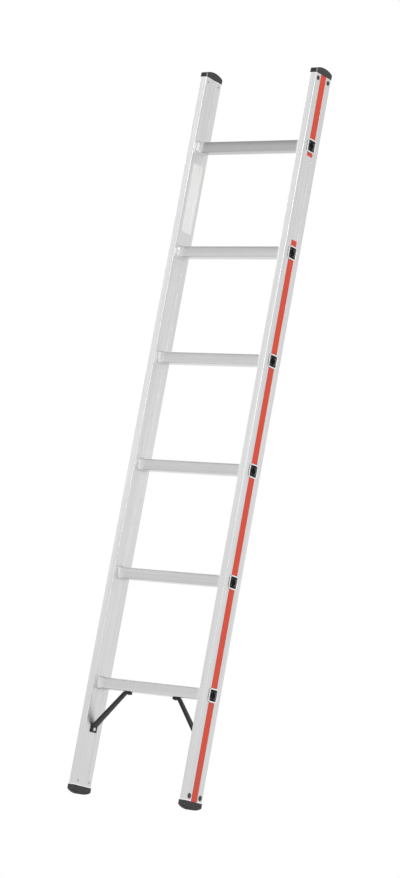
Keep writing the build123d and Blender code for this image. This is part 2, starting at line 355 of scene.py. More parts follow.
@dataclass(frozen=True)
class StripeFilm:
    """Red adhesive film: smooth, dulled in long stretches, deeper at its cut edges, scratched lengthwise."""

    name: str = "red_stripe_film"
    colour: str = "#DC4932"
    faded: str = "#CC5040"
    edge: str = "#C03C29"
    edge_span_mm: Limits = (9.65, 11.25)
    fade_sizes_mm: tuple[float, ...] = (60.0, 60.0, 150.0)
    fade_range: Limits = (0.48, 0.66)
    fade_share: float = 0.75
    scratch_sizes_mm: tuple[float, ...] = (0.9, 0.9, 90.0)
    scratch_range: Limits = (0.3, 0.75)
    relief_mm: float = 0.01
    relief_strength: float = 0.2
    roughness: Limits = (0.3, 0.5)
    ior: float = 1.36

    def material(self) -> Material:
        """Builds the film.

        Returns:
            The finished material.
        """
        material, tree = blank_material(self.name)
        place = add_node(tree, "TexCoord").outputs["Object"]
        axes = add_node(tree, "SeparateXYZ", {0: place})
        off_middle = add_node(tree, "Math", {0: axes.outputs["Y"]}, {"operation": "ABSOLUTE"})
        at_edge = add_node(tree, "MapRange", {"Value": off_middle, **between(self.edge_span_mm, MM)})
        fading = streaks(tree, place, self.fade_sizes_mm, BROKEN)
        faded = add_node(tree, "MapRange", {
            "Value": fading, **between(self.fade_range), "To Max": self.fade_share})
        body = add_node(tree, "Mix", {
            SHARE: faded, COLOUR_A: linear(self.colour), COLOUR_B: linear(self.faded)}, COLOURS)
        colour = add_node(tree, "Mix", {SHARE: at_edge, COLOUR_A: body, COLOUR_B: linear(self.edge)}, COLOURS)
        scratches = streaks(tree, place, self.scratch_sizes_mm, EVEN)
        gloss = add_node(tree, "MapRange", {
            "Value": scratches, **between(self.scratch_range),
            "To Min": self.roughness[0], "To Max": self.roughness[1]})
        relief = add_node(tree, "Bump", {
            "Strength": self.relief_strength, "Distance": self.relief_mm * MM, "Height": scratches})
        shader = add_node(tree, "BsdfPrincipled", {
            "Base Color": colour, "Roughness": gloss, "IOR": self.ior, "Normal": relief})
        add_node(tree, "OutputMaterial", {"Surface": shader})
        return material


def finish_piece(
    shape: BMesh, name: str, finishes: tuple[Material, ...], node: str | None = None
) -> None:
    """Turns a mesh into a piece that rides on the ladder.

    Args:
        shape: The finished mesh, in place. It is freed.
        name: The piece's name.
        finishes: Its materials, in the order of the faces' numbers.
        node: The CAD node that it stands for, if any.
    """
    mesh = bpy.data.meshes.new(name)
    shape.to_mesh(mesh)
    shape.free()
    mesh.shade_smooth()
    mesh.set_sharp_from_angle(angle=CRISP_ANGLE)
    for finish in finishes:
        mesh.materials.append(finish)
    piece = bpy.data.objects.new(name, mesh)
    bpy.context.scene.collection.objects.link(piece)
    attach(piece, BODY)
    if node:
        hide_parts(node)
    LOG.info("%s: %d faces, stands for %s", name, len(mesh.polygons), node or "no node")


def dress_node(node: str, material: Material) -> None:
    """Gives a CAD node its finish.

    Args:
        node: The node's name.
        material: The finish.
    """
    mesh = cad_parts[node].data
    mesh.materials.clear()
    mesh.materials.append(material)
    LOG.info("%s: CAD node in %s", node, material.name)


def middle_of(node: str) -> Vector:
    """The middle of a CAD node's box, in metres."""
    low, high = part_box(node)
    return (low + high) / 2


@dataclass(frozen=True)
class Station:
    """One ring of a skin: its place along the rung, its reach outside the tube and its corner's radius."""

    x: float
    offset: float
    corner: float | None = None


@dataclass
class SquareTube:
    """The rung's rounded square section, from which the rungs and their plugs are drawn ring by ring."""

    size: float = 28.0
    corner: float = 3.5
    least_corner: float = 0.9
    corner_spread: float = 1.4
    corner_steps: int = 6
    drawing_step: float = 20.0

    def ring(self, shape: BMesh, x: float, station: Station) -> list[BMEdge]:
        """Adds one closed ring at height zero.

        Args:
            shape: The mesh to draw in.
            x: Where the ring is drawn along the rung, in millimetres.
            station: The ring's size.

        Returns:
            The ring's edges.
        """
        offset = station.offset
        half = (self.size / 2 + offset) * MM
        grown = max(self.corner + offset * (self.corner_spread if offset > 0 else 1), self.least_corner)
        rounding = (station.corner or grown) * MM
        seat = (
            Matrix.Translation((x * MM, 0, 0))
            @ Matrix.Rotation(QUARTER_TURN, 4, "Y")
            @ Matrix.Rotation(QUARTER_TURN / 2, 4, "Z")
        )
        square = bmesh.ops.create_circle(
            shape, cap_ends=False, segments=4, radius=half * math.sqrt(2), matrix=seat)["verts"]
        rounded = bmesh.ops.bevel(
            shape, geom=square, offset=rounding, offset_type="OFFSET", affect="VERTICES",
            segments=self.corner_steps, profile=0.5, material=-1)["verts"]
        return list(dict.fromkeys(edge for vert in rounded for edge in vert.link_edges))

    def skin(self, shape: BMesh, stations: list[Station]) -> list[list[BMEdge]]:
        """Draws a skin through a row of rings at height zero.

        The rings are bridged apart and then slid home, because bridging twists rings that lie in one plane.

        Args:
            shape: The mesh to draw in.
            stations: The rings, in order.

        Returns:
            The edges of each ring.
        """
        step = self.drawing_step
        rings = [self.ring(shape, index * step, station) for index, station in enumerate(stations)]
        for first, second in zip(rings, rings[1:]):
            bmesh.ops.bridge_loops(shape, edges=first + second)
        for index, (station, ring) in enumerate(zip(stations, rings)):
            verts = list(dict.fromkeys(vert for edge in ring for vert in edge.verts))
            bmesh.ops.translate(shape, verts=verts, vec=((station.x - index * step) * MM, 0, 0))
        return rings


@dataclass
class Rung:
    """A rung: mouth, turned-over flange, bead, shoulder and grooved tube."""

    number: int
    finishes: tuple[Material, ...]
    tube: SquareTube
    flange_face: float = FLANGE_FACE
    flange_thickness: float = 2.0
    flange_overhang: float = 3.4
    stile_inner: float = STILE_INNER
    wall: float = 1.6
    mouth_widening: float = 1.9
    mouth_depth: float = 3.6
    mouth_corner: float = 4.6
    bead_overhang: float = 3.0
    bead_band: float = 2.2
    bead_slope: float = 1.4
    shoulder_overhang: float = 1.8
    shoulder_length: float = 11.0
    shoulder_blend: float = 4.0
    pale_share: float = 0.46
    # Rounded rings, by their numbers among the stations
    edge_rings: tuple[int, ...] = (2, 8)
    flange_rings: tuple[int, ...] = (3, 4)
    edge_round: float = 0.7
    flange_round: float = 0.9
    round_steps: int = 4
    seam_height: float = 1.0
    zone_slack: float = 0.1
    level_share: float = 0.99
    level_slack: float = 0.05
    groove_count: int = 5
    groove_pitch: float = 3.4
    groove_width: float = 1.4
    groove_depth: float = 0.6
    groove_end: float = 144.4

    @property
    def node(self) -> str:
        """The CAD node that the rung stands for."""
        return f"rung_{self.number}"

    @property
    def flange_back(self) -> float:
        """Where the flange bears on the stile."""
        return self.flange_face - self.flange_thickness

    @property
    def shoulder_top(self) -> float:
        """Where the bead's slope meets the shoulder."""
        return self.stile_inner - self.bead_band - self.bead_slope

    @property
    def shoulder_foot(self) -> float:
        """Where the shoulder meets the plain tube."""
        return self.shoulder_top - self.shoulder_length

    @property
    def pale_from(self) -> float:
        """Where on the shoulder the tube's own colour has given way to the bead's."""
        return self.shoulder_foot + self.shoulder_length * self.pale_share

    def stations(self) -> list[Station]:
        """Rings of half a rung, from the middle of its bore round flange and bead to the middle of its tube.

        Returns:
            The rings, in order.
        """
        return [
            Station(0, -self.wall),
            Station(self.flange_face - self.mouth_depth, -self.wall),
            Station(self.flange_face, self.mouth_widening - self.wall, self.mouth_corner),
            Station(self.flange_face, self.flange_overhang),
            Station(self.flange_back, self.flange_overhang),
            Station(self.flange_back, 0),
            Station(self.stile_inner, 0),
            Station(self.stile_inner, self.bead_overhang),
            Station(self.stile_inner - self.bead_band, self.bead_overhang),
            Station(self.shoulder_top, self.shoulder_overhang),
            Station(self.pale_from, self.shoulder_overhang * self.pale_share),
            Station(self.shoulder_foot, 0),
            Station(self.shoulder_foot - self.shoulder_blend, 0),
            Station(0, 0),
        ]

    def mark_ends(self, shape: BMesh) -> None:
        """Tells the ends from the plain tube: flange and pale dull bead with painted highlights, and a
        painted shadow in the seam.

        Args:
            shape: The whole rung.
        """
        rim = self.tube.size / 2 + self.flange_overhang / 2
        for face in shape.faces:
            centre = face.calc_center_median() / MM
            reach = abs(centre.x)
            at_flange = reach > self.flange_back - self.zone_slack
            near_stile = reach < self.flange_back + self.seam_height
            if at_flange and near_stile and max(abs(centre.y), abs(centre.z)) > rim:
                face.material_index = RungZone.SEAM
            elif at_flange:
                face.material_index = RungZone.FLANGE
            elif reach > self.pale_from:
                face.material_index = RungZone.BEAD

    def cut_grooves(self, shape: BMesh) -> None:
        """Sinks the tread grooves into the top of the tube.

        Args:
            shape: The whole rung, at height zero.
        """
        top = self.tube.size / 2 * MM
        reach = (self.groove_count - 1) / 2 * self.groove_pitch
        middles = [index * self.groove_pitch - reach for index in range(self.groove_count)]
        cuts = [(Vector((sign * self.groove_end * MM, 0, 0)), Vector((1, 0, 0))) for sign in (-1, 1)]
        for middle in middles:
            for sign in (-1, 1):
                cuts.append((Vector((0, (middle + sign * self.groove_width / 2) * MM, 0)), Vector((0, 1, 0))))

        def tread_faces() -> list[BMFace]:
            """The faces that now lie in the tread."""
            return [
                face for face in shape.faces
                if face.normal.z > self.level_share
                and abs(face.calc_center_median().z - top) < self.level_slack * MM
            ]

        for point, normal in cuts:
            faces = tread_faces()
            edges = {edge for face in faces for edge in face.edges}
            verts = {vert for face in faces for vert in face.verts}
            bmesh.ops.bisect_plane(
                shape, geom=[*verts, *edges, *faces], dist=CUT_DISTANCE, plane_co=point, plane_no=normal)
        sunk = []
        for face in tread_faces():
            centre = face.calc_center_median() / MM
            in_groove = any(abs(centre.y - middle) < self.groove_width / 2 for middle in middles)
            if in_groove and abs(centre.x) < self.groove_end:
                sunk.append(face)
        # With their edges named, the operator takes the old faces away and leaves the grooves open
        outlines = {edge for face in sunk for edge in face.edges}
        moved = bmesh.ops.extrude_face_region(shape, geom=[*sunk, *outlines])["geom"]
        sunk_verts = [item for item in moved if isinstance(item, BMVert)]
        bmesh.ops.translate(shape, verts=sunk_verts, vec=(0, 0, -self.groove_depth * MM))

    def build(self) -> None:
        """Builds the rung."""
        shape = bmesh.new()
        rings = self.tube.skin(shape, self.stations())
        for indices, radius in ((self.flange_rings, self.flange_round), (self.edge_rings, self.edge_round)):
            bmesh.ops.bevel(
                shape, geom=[edge for index in indices for edge in rings[index]], offset=radius * MM,
                offset_type="OFFSET", affect="EDGES", segments=self.round_steps, profile=0.5, material=-1)
        half = [*shape.verts, *shape.edges, *shape.faces]
        bmesh.ops.mirror(shape, geom=half, axis="X", merge_dist=MERGE_DISTANCE)
        bmesh.ops.remove_doubles(shape, verts=shape.verts[:], dist=MERGE_DISTANCE)
        bmesh.ops.recalc_face_normals(shape, faces=shape.faces[:])
        self.cut_grooves(shape)
        self.mark_ends(shape)
        bmesh.ops.translate(shape, verts=shape.verts[:], vec=(0, 0, middle_of(self.node).z))
        finish_piece(shape, f"fine_{self.node}", self.finishes, self.node)


@dataclass
class RungPlug:
    """A moulded plug in a rung's mouth: flared head, dished face and four pips near its corners."""

    side: Side
    number: int
    finishes: tuple[Material, ...]
    tube: SquareTube
    flange_face: float = FLANGE_FACE
    recess: float = 0.6
    head_depth: float = 3.0
    body_length: float = 12.0
    face_offset: float = -0.25
    face_corner: float = 4.2
    body_offset: float = -1.9
    hollow_offset: float = -3.5
    rim: float = 2.2
    rim_corner: float = 3.0
    # How far inward and how deep the rings of the dish's wall lie
    dish_wall: Pairs = ((0.5, 0.6), (1.1, 1.0), (1.9, 1.25), (2.8, 1.4))
    # Rounded rings, by their numbers among the stations
    edge_rings: tuple[int, ...] = (4, 5)
    edge_round: float = 0.5
    edge_steps: int = 3
    pip_place: float = 6.9
    pip_radius: float = 1.7
    pip_height: float = 1.1
    pip_steps: tuple[int, int] = (14, 8)
    floor_slack: float = 0.01
    level_share: float = 0.985

    @property
    def node(self) -> str:
        """The CAD node that the plug stands for."""
        return f"rung_plug_{self.side.word}_{self.number}"

    @property
    def face(self) -> float:
        """Where the plug's rim lies along +X."""
        return self.flange_face - self.recess

    @property
    def floor(self) -> float:
        """Where the dish's floor lies along +X."""
        return self.face - self.dish_wall[-1][1]

    def stations(self) -> list[Station]:
        """Rings of the plug from the floor of its hollow body round to its dish.

        Returns:
            The rings along +X, in order.
        """
        neck = self.face - self.head_depth
        back = neck - self.body_length
        inner = self.face_offset - self.rim
        return [
            Station(neck, self.hollow_offset),
            Station(back, self.hollow_offset),
            Station(back, self.body_offset),
            Station(neck, self.body_offset),
            Station(self.face, self.face_offset, self.face_corner),
            Station(self.face, inner, self.rim_corner),
            *(Station(self.face - deep, inner - inward, self.rim_corner) for inward, deep in self.dish_wall),
        ]

    def add_pips(self, shape: BMesh) -> None:
        """Stands the four pips in the dish.

        Args:
            shape: The plug, at height zero.
        """
        around, up = self.pip_steps
        flattened = Matrix.Diagonal((1, 1, self.pip_height / self.pip_radius, 1))
        turned = Matrix.Rotation(QUARTER_TURN, 4, "Y") @ flattened
        for y in (-self.pip_place, self.pip_place):
            for z in (-self.pip_place, self.pip_place):
                bmesh.ops.create_uvsphere(
                    shape, u_segments=around, v_segments=up, radius=self.pip_radius * MM,
                    matrix=Matrix.Translation((self.floor * MM, y * MM, z * MM)) @ turned)

    def mark_dish(self, shape: BMesh) -> None:
        """Tells the dish's wall and pips, shinier from the mould, from the rest; their finish adds a painted
        highlight.

        Args:
            shape: The plug, at height zero, with its face along +X.
        """
        reach = self.tube.size / 2 + self.face_offset - self.rim
        for face in shape.faces:
            centre = face.calc_center_median() / MM
            inside = max(abs(centre.y), abs(centre.z)) < reach and centre.x > self.floor - self.floor_slack
            face.material_index = int(inside and face.normal.x < self.level_share)

    def build(self) -> None:
        """Builds the plug."""
        shape = bmesh.new()
        rings = self.tube.skin(shape, self.stations())
        for end in (rings[0], rings[-1]):
            bmesh.ops.edgeloop_fill(shape, edges=end)
        edges = [edge for index in self.edge_rings for edge in rings[index]]
        bmesh.ops.bevel(
            shape, geom=edges, offset=self.edge_round * MM, offset_type="OFFSET", affect="EDGES",
            segments=self.edge_steps, profile=0.5, material=-1)
        self.add_pips(shape)
        bmesh.ops.recalc_face_normals(shape, faces=shape.faces[:])
        self.mark_dish(shape)
        bmesh.ops.scale(shape, vec=(self.side.value, 1, 1), verts=shape.verts[:])
        bmesh.ops.translate(shape, verts=shape.verts[:], vec=(0, 0, middle_of(self.node).z))
        bmesh.ops.recalc_face_normals(shape, faces=shape.faces[:])
        finish_piece(shape, f"fine_{self.node}", self.finishes, self.node)


@dataclass(frozen=True)
class Rivet:
    """One blind rivet: domed head with its dimple, shank and set tail."""

    head_radius: float
    head_height: float
    shank_radius: float
    grip: float
    tail_radius: float
    tail_height: float
    dimple_radius: float = 1.5
    dimple_floor: float = 1.2
    dimple_depth: float = 0.5
    # Shares of the radius and the height, along the head's dome and the set tail
    dome: Pairs = ((0.62, 0.86), (0.9, 0.5), (1.0, 0.18), (1.0, 0.0))
    tail: Pairs = ((1.0, 0.0), (0.9, 0.7), (0.55, 1.0), (0.0, 1.0))
    steps: int = 28

    def add(self, shape: BMesh, seat: Matrix) -> None:
        """Adds the rivet to a mesh.

        Args:
            shape: The mesh to draw in.
            seat: Where it sits: the head stands along the seat's Z, and the shank goes the other way.
        """
        crown = self.head_height - self.dimple_depth
        profile = [
            (0.0, crown),
            (self.dimple_floor, crown),
            (self.dimple_radius, self.head_height),
            *((self.head_radius * out, self.head_height * up) for out, up in self.dome),
            (self.shank_radius, 0.0),
            (self.shank_radius, -self.grip),
            *((self.tail_radius * out, -self.grip - self.tail_height * down) for out, down in self.tail),
        ]
        verts = [shape.verts.new((radius * MM, 0, level * MM)) for radius, level in profile]
        edges = [shape.edges.new(pair) for pair in zip(verts, verts[1:])]
        bmesh.ops.spin(
            shape, geom=[*verts, *edges], cent=(0, 0, 0), axis=(0, 0, 1), angle=2 * math.pi, steps=self.steps,
            use_merge=True)
        made = [vert for vert in shape.verts if not vert.tag]
        bmesh.ops.remove_doubles(shape, verts=made, dist=MERGE_DISTANCE)
        made = [vert for vert in shape.verts if not vert.tag]
        for face in shape.faces:
            if not face.tag:
                face.material_index = int(face.calc_center_median().z < -self.grip * MM)
                face.tag = True
        bmesh.ops.transform(shape, matrix=seat, verts=made)
        for vert in made:
            vert.tag = True


@dataclass
class RivetSet:
    """The rivets of one CAD node."""

    node: str
    seats: list[Matrix]
    rivet: Rivet
    finishes: tuple[Material, ...]
    slot: str

    def build(self) -> None:
        """Builds the rivets."""
        shape = bmesh.new()
        for seat in self.seats:
            self.rivet.add(shape, seat)
        bmesh.ops.recalc_face_normals(shape, faces=shape.faces[:])
        finish_piece(shape, f"fine_{self.node}", self.finishes, self.node)


@dataclass
class SoftenedNode:
    """A CAD solid whose edges are rounded as moulding or coating rounds them."""

    node: str
    finishes: tuple[Material, ...]
    slot: str
    edge_round: float
    steps: int = 3
    sharp_deg: float = 40.0
    flat_deg: float = 1.0
    bore_reach: float = 0.0

    def mark_zones(self, shape: BMesh) -> None:
        """Leaves the whole solid in one finish."""

    def reshape(self, shape: BMesh) -> None:
        """Leaves the solid's form as it is."""

    def build(self) -> None:
        """Copies the solid, merges its triangles and rounds its edges."""
        shape = bmesh.new()
        shape.from_mesh(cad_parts[self.node].data)
        bmesh.ops.remove_doubles(shape, verts=shape.verts[:], dist=2 * MERGE_DISTANCE)
        bmesh.ops.dissolve_limit(
            shape, angle_limit=math.radians(self.flat_deg), verts=shape.verts[:], edges=shape.edges[:])
        self.reshape(shape)
        sharp = [
            edge for edge in shape.edges
            if edge.is_manifold and edge.calc_face_angle() > math.radians(self.sharp_deg)
            and max(abs(vert.co.y) for vert in edge.verts) > self.bore_reach * MM
        ]
        bmesh.ops.bevel(
            shape, geom=sharp, offset=self.edge_round * MM, offset_type="OFFSET", affect="EDGES",
            segments=self.steps, profile=0.5, material=-1, clamp_overlap=True)
        self.mark_zones(shape)
        finish_piece(shape, f"soft_{self.node}", self.finishes, self.node)


@dataclass
class SoftenedCap(SoftenedNode):
    """A top cap: smoother and painted darker at its ends (painted shade) than on its broad faces, painted
    pale along its corners as a painted highlight.
    """

    end_share: float = 0.85
    corner_share: float = 0.34
    brow_from: float = 26.0
    brow_length: float = 8.0
    brow_above: float = 1872.0
    brow_drop: float = 1.7

    def reshape(self, shape: BMesh) -> None:
        """Lets the crown droop over the cap's two ends.

        Args:
            shape: The cap.
        """
        for vert in shape.verts:
            over = (abs(vert.co.y) / MM - self.brow_from) / self.brow_length
            if over > 0 and vert.co.z > self.brow_above * MM:
                vert.co.z -= self.brow_drop * over ** 2 * MM

    def mark_zones(self, shape: BMesh) -> None:
        """Tells the cap's ends and upright corners from its broad faces.

        Args:
            shape: The cap.
        """
        for face in shape.faces:
            across, along = abs(face.normal.x), abs(face.normal.y)
            if min(across, along) > self.corner_share:
                face.material_index = CapZone.CORNER
            elif along > self.end_share:
                face.material_index = CapZone.END


@dataclass
class BlankLabel:
    """A plain white film label on the inner face of the left stile, pressed into the stile's channel."""

    material: Material
    low_z: float = 1453.0
    high_z: float = 1636.0
    middle_y: float = 1.0
    width: float = 40.0
    corner: float = 2.0
    corner_steps: int = 4
    thickness: float = 0.12
    face_x: float = -STILE_INNER
    channel_half: float = 12.0
    channel_depth: float = 0.4
    press_slack: float = 0.1

    def build(self) -> None:
        """Builds the label."""
        shape = bmesh.new()
        length = self.high_z - self.low_z
        seat = (
            Matrix.Translation((self.face_x * MM, self.middle_y * MM, (self.low_z + length / 2) * MM))
            @ Matrix.Rotation(QUARTER_TURN, 4, "Y")
            @ Matrix.Diagonal((length / 2 * MM, self.width / 2 * MM, 1, 1))
        )
        sheet = bmesh.ops.create_grid(shape, x_segments=1, y_segments=1, size=1, matrix=seat)["verts"]
        bmesh.ops.bevel(
            shape, geom=sheet, offset=self.corner * MM, offset_type="OFFSET", affect="VERTICES",
            segments=self.corner_steps, profile=0.5, material=-1)
        for sign in (-1, 1):
            for edge in (self.channel_half, self.channel_half - self.channel_depth):
                bmesh.ops.bisect_plane(
                    shape, geom=[*shape.verts, *shape.edges, *shape.faces], dist=CUT_DISTANCE,
                    plane_co=(0, sign * edge * MM, 0), plane_no=(0, 1, 0))
        pressed_half = (self.channel_half - self.press_slack) * MM
        pressed = [vert for vert in shape.verts if abs(vert.co.y) < pressed_half]
        bmesh.ops.translate(shape, verts=pressed, vec=(-self.channel_depth * MM, 0, 0))
        raised = bmesh.ops.extrude_face_region(shape, geom=shape.faces[:])["geom"]
        raised_verts = [item for item in raised if isinstance(item, BMVert)]
        bmesh.ops.translate(shape, verts=raised_verts, vec=(self.thickness * MM, 0, 0))
        bmesh.ops.recalc_face_normals(shape, faces=shape.faces[:])
        finish_piece(shape, "blank_label", (self.material,))


def facing(x: float, y: float, z: float, direction: tuple[float, float, float]) -> Matrix:
    """A rivet's seat, in metres, from its place in millimetres and the way its head points."""
    turn = Vector(direction).to_track_quat("Z", "Y").to_matrix().to_4x4()
    return Matrix.Translation((x * MM, y * MM, z * MM)) @ turn


@dataclass(frozen=True)
class Softbox:
    """A large soft lamp."""

    name: str
    place: tuple[float, float, float]
    aim: tuple[float, float, float]
    size: float
    level: float
    mirrored: bool = True

    def build(self) -> None:
        """Hangs the lamp. Its level is the brightness of its face, where one is white."""
        lamp = bpy.data.lights.new(self.name, "AREA")
        lamp.shape = "SQUARE"
        lamp.size = self.size
        lamp.energy = self.level * math.pi * self.size ** 2
        holder = bpy.data.objects.new(self.name, lamp)
        bpy.context.scene.collection.objects.link(holder)
        holder.location = self.place
        holder.rotation_mode = "QUATERNION"
        holder.rotation_quaternion = (Vector(self.aim) - Vector(self.place)).to_track_quat("-Z", "Y")
        holder.visible_glossy = self.mirrored


@dataclass
class Studio:
    """A white room with a pale floor, soft lamps and the camera of the photograph."""

    floor_size: float = 40.0
    floor_colour: str = "#F9F9F8"
    fill_level: float = 0.66
    camera_place: tuple[float, float, float] = (4.76853, -5.9834, -0.37746)
    azimuth_deg: float = 38.821
    elevation_deg: float = -11.0964
    roll_deg: float = 10.4225
    lens_mm: float = 127.1086
    shift_y: float = -0.09468
    view_depth: float = 100.0
    front_room: Pairs = ((0.0, 0.9), (0.07, 0.95), (0.14, 0.97), (0.27, 0.95), (0.34, 0.5), (1.0, 0.6))
    back_room: Pairs = ((0.0, 1.25), (0.1, 1.0), (0.2, 0.76), (0.28, 0.66), (0.45, 0.83))
    room_turn: Limits = (-0.4, 0.4)
    floor_mirror: float = 1.0
    softboxes: tuple[Softbox, ...] = (
        Softbox("camera_softbox", (5.2, -4.9, 4.4), (0, 0, 1.2), 4.0, 3.0),
        Softbox("left_softbox", (-6.75, -2.25, 4.7), (0, 0, 1.4), 4.0, 2.3),
        Softbox("top_softbox", (0.6, -0.8, 4.6), (0, 0, 0.0), 3.0, 1.0, mirrored=False),
    )

    def build_floor(self) -> None:
        """Lays the floor. It shows from above only, because the camera looks up past it."""
        material, tree = blank_material("pale_floor")
        place = add_node(tree, "NewGeometry")
        pale = add_node(tree, "BsdfDiffuse", {"Color": linear(self.floor_colour)})
        white = add_node(tree, "Emission", {"Color": WHITE, "Strength": self.floor_mirror})
        shown = add_node(tree, "MixShader", {0: mirrored_share(tree), 1: pale, 2: white})
        clear = add_node(tree, "BsdfTransparent")
        mixed = add_node(tree, "MixShader", {0: place.outputs["Backfacing"], 1: shown, 2: clear})
        add_node(tree, "OutputMaterial", {"Surface": mixed})
        shape = bmesh.new()
        bmesh.ops.create_grid(shape, x_segments=1, y_segments=1, size=self.floor_size / 2)
        mesh = bpy.data.meshes.new("floor")
        shape.to_mesh(mesh)
        shape.free()
        mesh.materials.append(material)
        floor = bpy.data.objects.new("floor", mesh)
        bpy.context.scene.collection.objects.link(floor)

    def paint_wall(self, tree: NodeTree, height: NodeSocket, levels: Pairs) -> Node:
        """Makes one side of the room as metal mirrors it: greys that follow the height.

        Args:
            tree: The world's nodes.
            height: How far up a ray points, from zero at the horizon to one.
            levels: Pairs of a height and the brightness there, where one is white.

        Returns:
            The node of the greys.
        """
        greys = add_node(tree, "ValToRGB", {0: height})
        stops = greys.color_ramp.elements
        while len(stops) < len(levels):
            stops.new(1.0)
        for stop, (place, level) in zip(stops, levels):
            stop.position = place
            stop.color = (level, level, level, 1)
        return greys

    def build_world(self) -> None:
        """Fills the room with even light: seen white, and mirrored as pale walls under a greyer ceiling."""
        world = bpy.data.worlds.new("white_room")
        world.use_nodes = True
        tree = world.node_tree
        tree.nodes.clear()
        axes = add_node(tree, "SeparateXYZ", {0: add_node(tree, "TexCoord").outputs["Generated"]})
        front = self.paint_wall(tree, axes.outputs["Z"], self.front_room)
        back = self.paint_wall(tree, axes.outputs["Z"], self.back_room)
        behind = add_node(tree, "MapRange", {"Value": axes.outputs["Y"], **between(self.room_turn)}, SMOOTH)
        walls = add_node(tree, "Mix", {SHARE: behind, COLOUR_A: front, COLOUR_B: back}, COLOURS)
        fill = add_node(tree, "Background", {"Color": WHITE, "Strength": self.fill_level})
        room = add_node(tree, "Background", {"Color": walls, "Strength": 1.0})
        white = add_node(tree, "Background", {"Color": WHITE, "Strength": 1.0})
        lit = add_node(tree, "MixShader", {0: mirrored_share(tree), 1: fill, 2: room})
        seen = add_node(tree, "LightPath").outputs["Is Camera Ray"]
        mixed = add_node(tree, "MixShader", {0: seen, 1: lit, 2: white})
        add_node(tree, "OutputWorld", {"Surface": mixed})
        bpy.context.scene.world = world

    def build_camera(self) -> None:
        """Sets the camera up at the photograph's viewing angle."""
        azimuth, elevation = math.radians(self.azimuth_deg), math.radians(self.elevation_deg)
        run = math.cos(elevation)
        ahead = Vector((-math.sin(azimuth) * run, math.cos(azimuth) * run, -math.sin(elevation)))
        camera = bpy.data.cameras.new("photo_camera")
        camera.lens = self.lens_mm
        camera.shift_y = self.shift_y
        camera.clip_end = self.view_depth
        holder = bpy.data.objects.new("photo_camera", camera)
        bpy.context.scene.collection.objects.link(holder)
        holder.location = self.camera_place
        holder.rotation_mode = "QUATERNION"
        unrolled = ahead.to_track_quat("-Z", "Y")
        holder.rotation_quaternion = unrolled @ Quaternion((0, 0, 1), math.radians(self.roll_deg))
        bpy.context.scene.camera = holder

    def build(self) -> None:
        """Builds the room, its lamps and the camera."""
        bpy.context.scene.view_settings.view_transform = "Standard"
        self.build_floor()
        self.build_world()
        for softbox in self.softboxes:
            softbox.build()
        self.build_camera()


